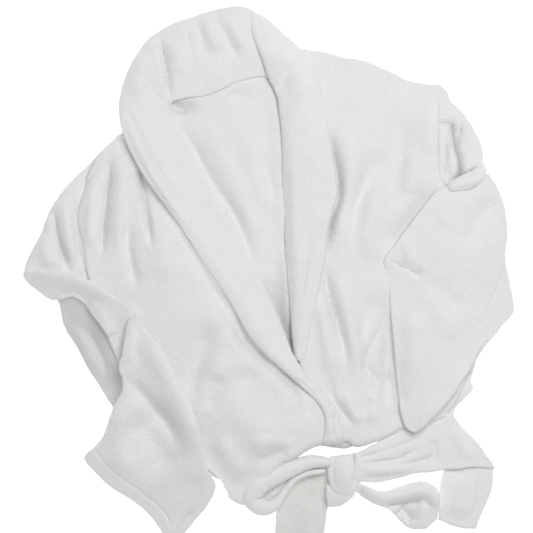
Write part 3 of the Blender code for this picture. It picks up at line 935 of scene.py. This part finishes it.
def make_belt(finish, end_painted_shade):
    """The belt: a band behind the waist, the knot, the bow's two loops and the two ends."""
    low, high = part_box("belt_waist_band")
    z = (low.z + high.z) / 2 / MM
    band = two_sided([(-116, -118, z), (50, -94, z), (222, -70, z)],
                     [(-116, -176, z), (50, -154, z), (222, -126, z)], 30, 120)
    cloth("belt_band_cloth", band, 2.0, 2, finish, ["belt_waist_band"], pile=0.1)
    knot = paired([
        ((82, -218, 26), (122, -213, 27)),
        ((80, -230, 27), (124, -227, 28)),
        ((80, -244, 26), (124, -244, 28)),
        ((84, -259, 24), (120, -259, 26)),
        ((92, -269, 22), (111, -271, 23)),
    ], 60, 70)
    raise_by = dome(knot, (101, -241), (22, 32), 9)
    add_folds(raise_by, knot, (
        ([(115, -214), (116, -236), (109, -261)], 4, -3),
        ([(90, -218), (89, -241), (93, -265)], 4, -2),
        ([(103, -219), (104, -241), (101, -263)], 6, 2),
    ))
    cloth("belt_knot_cloth", lift(knot, raise_by), 12, 9, finish, ["belt_knot"])
    rolled_band(
        "belt_left_loop_cloth",
        [(88, -227, 34), (72, -225, 34), (53, -226, 33), (31, -234, 33), (8, -245, 33), (-12, -257, 32),
         (-23, -273, 29), (-16, -284, 26), (-4, -288, 24), (8, -283, 23), (16, -273, 22), (26, -260, 22),
         (36, -249, 24), (53, -241, 26), (77, -238, 28)],
        (7, 8.5, 10, 11, 12, 12.5, 13, 13, 12, 9, 6.5, 5, 4.5, 4.5, 5),
        (10, 11, 12, 12, 12, 12, 12, 11, 10, 10, 9, 8, 7, 7, 7),
        finish, ["belt_left_loop"])
    shaded_lining = paired([
        ((85, -229, 21), (85, -238, 20)),
        ((58, -229, 20), (59, -241, 18)),
        ((36, -237, 19), (39, -249, 17)),
        ((12, -249, 18), (26, -261, 16)),
        ((-12, -263, 17), (16, -276, 16)),
        ((-20, -275, 17), (4, -286, 16)),
    ], 30, 60)
    shaded_lining = lift(shaded_lining, crumple(shaded_lining, 1.5, 0.02, 131))
    cloth("belt_left_loop_inside", shaded_lining, 4, 3, finish)
    upper = paired([
        ((115, -215, 36), (115, -249, 34)),
        ((134, -205, 35), (131, -253, 31)),
        ((155, -194, 33), (150, -253, 29)),
        ((180, -183, 31), (174, -248, 28)),
        ((204, -171, 28), (196, -242, 27)),
        ((228, -163, 26), (217, -240, 26)),
        ((246, -160, 24), (239, -237, 24)),
        ((263, -180, 21), (258, -236, 22)),
        ((282, -198, 19), (277, -234, 19)),
        ((297, -218, 17), (293, -234, 17)),
        ((308, -234, 15), (306, -236, 15)),
    ], 70, 180)[:, ::-1]
    raise_by = dome(upper, (147, -225), (34, 20), 6) + dome(upper, (231, -202), (24, 20), 3)
    add_folds(raise_by, upper, (
        ([(120, -229), (144, -225), (174, -221), (204, -207)], 3, -5),
        ([(117, -221), (155, -211), (188, -200), (212, -186)], 3.5, -5),
        ([(169, -232), (196, -226), (215, -221), (220, -211)], 3.5, -4),
        ([(123, -238), (163, -236), (204, -230)], 5, 3),
        ([(139, -217), (171, -209), (201, -195)], 4, 2.5),
        ([(223, -190), (225, -211), (223, -233)], 7, -3),
        ([(247, -173), (261, -200), (277, -227)], 9, 3),
    ))
    cloth("belt_right_loop_upper_cloth", lift(upper, raise_by), 7, 4, finish, ["belt_right_loop_upper"])
    turn = four_sided([(239, -229, 12), (232, -265, 11), (231, -306, 9)],
                      [(306, -230, 10), (304, -263, 10), (293, -290, 9), (282, -318, 8)],
                      [(239, -229, 12), (273, -227, 11), (306, -230, 10)],
                      [(231, -306, 9), (251, -314, 8), (267, -318, 8), (282, -318, 8)], 60, 70)
    raise_by = fold(turn, [(262, -241), (263, -273), (259, -306)], 16, 4)
    raise_by += fold(turn, [(285, -244), (284, -276), (274, -308)], 5, -2)
    cloth("belt_right_loop_turn_cloth", lift(turn, raise_by), 7, 4, finish, ["belt_right_loop_turn"])
    lower = paired([
        ((116, -248, 26), (113, -263, 24)),
        ((134, -259, 28), (128, -273, 22)),
        ((150, -265, 28), (144, -283, 19)),
        ((171, -261, 28), (163, -291, 15)),
        ((194, -253, 27), (177, -306, 10)),
        ((213, -253, 25), (193, -318, 8)),
        ((227, -261, 23), (212, -317, 8)),
        ((232, -277, 20), (230, -304, 10)),
    ], 70, 150)[:, ::-1]
    raise_by = dome(lower, (139, -267), (14, 8), 5)
    add_folds(raise_by, lower, (
        ([(123, -257), (150, -273), (177, -271), (204, -265), (223, -272), (225, -292)], 7, 8),
        ([(158, -284), (182, -283), (209, -281)], 5, -7),
        ([(177, -287), (186, -298), (193, -311)], 9, -8),
        ([(209, -284), (209, -300), (207, -317)], 8, 5),
    ), (0.15, 0.15))
    cloth("belt_right_loop_lower_cloth", lift(lower, raise_by), 6, 4, finish, ["belt_right_loop_lower"])
    tail = paired([
        ((77, -227, 9), (96, -244, 10)),
        ((47, -241, 6), (89, -260, 9)),
        ((24, -254, 5), (84, -276, 7)),
        ((14, -277, 4.5), (80, -292, 6)),
        ((9, -303, 4), (78, -307, 5)),
        ((8, -322, 4), (76, -322, 4)),
        ((4, -357, 4), (72, -357, 4)),
        ((-1, -388, 4), (66, -391, 4)),
    ], 60, 130)
    raise_by = fold(tail, [(55, -276), (50, -303), (47, -337)], 9, 2.5)
    raise_by += fold(tail, [(74, -268), (70, -303), (66, -337)], 5, -2)
    # The long end's greyer plush is painted shade for the shadow under the bow.
    cloth("belt_long_end_cloth", lift(tail, raise_by), 6, 3, end_painted_shade, ["belt_long_tail"], "belt_end")
    short = paired([
        ((77, -257, 24), (119, -259, 26)),
        ((77, -271, 22), (115, -272, 22)),
        ((80, -288, 16), (97, -286, 16)),
    ], 40, 44)
    short = lift(short, dome(short, (99, -272), (16, 12), 4))
    cloth("belt_short_end_cloth", short, 7, 4, finish, ["belt_short_tail"])


def make_belt_straps(finish):
    """The two straps that hold the belt's band, hidden under the back."""
    for node in ("right_belt_loop", "left_belt_loop"):
        cloth(node + "_cloth", box_sheet(node, 12, 40), 1.1, 1, finish, [node], pile=0.05)


# ---------------------------------------------------------------- all of it


def main():
    make_camera()
    floor = make_studio()
    floor.data.materials.append(floor_paint())
    body = plush("plush_white", (0.89, 0.89, 0.895), (0.80, 0.80, 0.80))
    sleeve = plush("plush_white_sleeve", (0.885, 0.885, 0.885), (0.80, 0.80, 0.795))
    # Painted shade: a greyer plush for the right sleeve's inside, standing in for the shadow in the
    # sleeve's hollow.
    inside = plush("plush_white_inside_painted_shade", (0.78, 0.78, 0.785), (0.68, 0.68, 0.685))
    collar = plush("plush_white_collar", (0.89, 0.89, 0.895), (0.80, 0.80, 0.80))
    belt = plush("plush_white_belt", (0.893, 0.889, 0.879), (0.815, 0.811, 0.801), 0.8)
    # Painted shade: a greyer plush for the belt's long end, standing in for the shadow that the bow's loops
    # cast on it.
    belt_end = plush("plush_white_belt_end_painted_shade", (0.82, 0.815, 0.80), (0.73, 0.725, 0.71), 0.8)
    make_back(body)
    make_right_front(body)
    make_left_front(body)
    make_pockets(body)
    make_collar(collar)
    make_left_lapel(collar)
    make_right_upper_sleeve(sleeve)
    make_right_lower_sleeve(sleeve, inside)
    make_left_upper_sleeve(sleeve)
    make_left_lower_sleeve(sleeve)
    make_belt(belt, belt_end)
    make_belt_straps(belt)


main()
